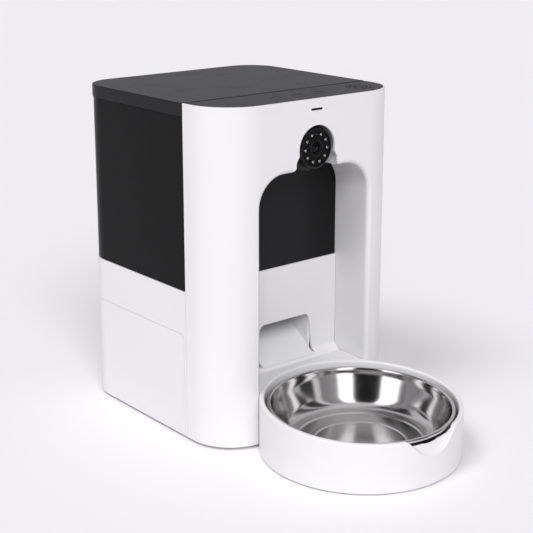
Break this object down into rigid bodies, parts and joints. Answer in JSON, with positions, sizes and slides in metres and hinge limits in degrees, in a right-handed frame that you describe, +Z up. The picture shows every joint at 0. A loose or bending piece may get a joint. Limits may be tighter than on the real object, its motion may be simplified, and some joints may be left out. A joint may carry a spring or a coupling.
{
  "type": "automatic pet feeder",
  "caption": "Automatic dry-food feeder: rounded white tower with a dark lift-out hopper and lid, a front camera over an arched niche, a food chute and a round tray with a steel bowl.",
  "frame": {"origin": "on the floor, under the centre of the whole object's box", "axes": "+X to the right seen from the front, -Y towards the front (bowl tray), +Z up"},
  "size_m": [0.23, 0.3956, 0.33],
  "materials": {
    "white_shell": "satin",
    "white_tray": "satin",
    "inner_plastic": "satin",
    "white_door": "satin",
    "rubber": "matte",
    "screw_steel": "satin",
    "window": "satin",
    "panel": "satin",
    "button": "satin",
    "circuit_board": "satin",
    "component": "satin",
    "speaker": "satin",
    "indicator": "gloss",
    "camera_black": "gloss",
    "bezel": "gloss",
    "led": "gloss",
    "lens_glass": "polished",
    "hopper_dark": "satin",
    "lid_dark": "satin",
    "silicone": "matte",
    "rotor_plastic": "satin",
    "paper": "matte",
    "gear_nylon": "satin",
    "bronze": "satin",
    "cell": "satin",
    "bowl_steel": "polished"
  },
  "bodies": {
    "housing": {"front_shell": "white_shell", "base_shell": "white_shell", "hopper_collar": "white_shell", "bottom_cover": "white_shell", "bottom_screws": "screw_steel", "rubber_feet": "rubber", "deck_plate": "inner_plastic", "niche_window": "window", "chute_insert": "white_shell", "control_panel": "panel", "button_board": "circuit_board", "button_switches": "component", "speaker": "speaker", "microphone": "component", "indicator_lens": "indicator", "camera_housing": "camera_black", "camera_bezel": "bezel", "camera_led_plate": "camera_black", "camera_leds": "led", "light_sensor": "camera_black", "lens_ring": "bezel", "camera_lens": "lens_glass", "camera_board": "circuit_board", "gearbox_case": "inner_plastic", "gearbox_cover": "inner_plastic", "idler_pin": "screw_steel", "shaft_bushes": "bronze", "motor": "screw_steel", "main_board": "circuit_board", "board_parts": "component", "power_inlet": "component", "drop_sensors": "component", "battery_box": "inner_plastic", "battery_cells": "cell"},
    "button_left": {"button_left": "button"},
    "button_middle": {"button_middle": "button"},
    "button_right": {"button_right": "button"},
    "hopper": {"hopper": "hopper_dark", "funnel": "inner_plastic", "dosing_chamber": "inner_plastic", "outlet_guard": "inner_plastic"},
    "rotor": {"rotor_hub": "rotor_plastic", "rotor_blades": "silicone"},
    "lid": {"lid": "lid_dark", "lid_seal": "silicone", "desiccant_box": "inner_plastic", "desiccant_sachet": "paper"},
    "desiccant_cover": {"desiccant_cover": "inner_plastic"},
    "output_drive": {"output_gear": "gear_nylon", "drive_shaft": "screw_steel", "drive_coupling": "rotor_plastic"},
    "idler": {"idler_gear": "gear_nylon"},
    "pinion": {"motor_pinion": "gear_nylon"},
    "battery_door": {"battery_door": "white_door"},
    "tray": {"bowl_tray": "white_tray", "tray_feet": "rubber"},
    "bowl": {"steel_bowl": "bowl_steel"}
  },
  "joints": [
    {"name": "button_left_press", "type": "slide", "parent": "housing", "child": "button_left", "axis": [0, 0, -1], "range_m": [0, 0.0008], "stiffness_N_per_m": 400},
    {"name": "button_middle_press", "type": "slide", "parent": "housing", "child": "button_middle", "axis": [0, 0, -1], "range_m": [0, 0.0008], "stiffness_N_per_m": 400},
    {"name": "button_right_press", "type": "slide", "parent": "housing", "child": "button_right", "axis": [0, 0, -1], "range_m": [0, 0.0008], "stiffness_N_per_m": 400},
    {"name": "hopper_lift", "type": "slide", "parent": "housing", "child": "hopper", "axis": [0, 0, 1], "range_m": [0, 0.19]},
    {"name": "lid_lift", "type": "slide", "parent": "hopper", "child": "lid", "axis": [0, 0, 1], "range_m": [0, 0.08]},
    {"name": "desiccant_twist", "type": "hinge", "parent": "lid", "child": "desiccant_cover", "pos_m": [0, 0.11075, 0], "axis": [0, 0, 1], "range_deg": [0, 30]},
    {"name": "rotor_spin", "type": "hinge", "parent": "hopper", "child": "rotor", "pos_m": [0, 0.11075, 0], "axis": [0, 0, 1], "continuous": true},
    {"name": "output_spin", "type": "hinge", "parent": "housing", "child": "output_drive", "pos_m": [0, 0.11075, 0], "axis": [0, 0, 1], "continuous": true},
    {"name": "idler_spin", "type": "hinge", "parent": "housing", "child": "idler", "pos_m": [0, 0.14275, 0], "axis": [0, 0, 1], "continuous": true},
    {"name": "pinion_spin", "type": "hinge", "parent": "housing", "child": "pinion", "pos_m": [0, 0.16075, 0], "axis": [0, 0, 1], "continuous": true},
    {"name": "battery_door_pull", "type": "slide", "parent": "housing", "child": "battery_door", "axis": [0, 1, 0], "range_m": [0, 0.03]},
    {"name": "tray_slide", "type": "slide", "parent": "housing", "child": "tray", "axis": [0, -1, 0], "range_m": [0, 0.12]},
    {"name": "bowl_lift", "type": "slide", "parent": "tray", "child": "bowl", "axis": [0, 0, 1], "range_m": [0, 0.06]}
  ],
  "couplings": [
    {"joint": "output_spin", "follows": "rotor_spin", "ratio": 1},
    {"joint": "idler_spin", "follows": "rotor_spin", "ratio": -1.6667},
    {"joint": "pinion_spin", "follows": "rotor_spin", "ratio": 3.3333}
  ]
}
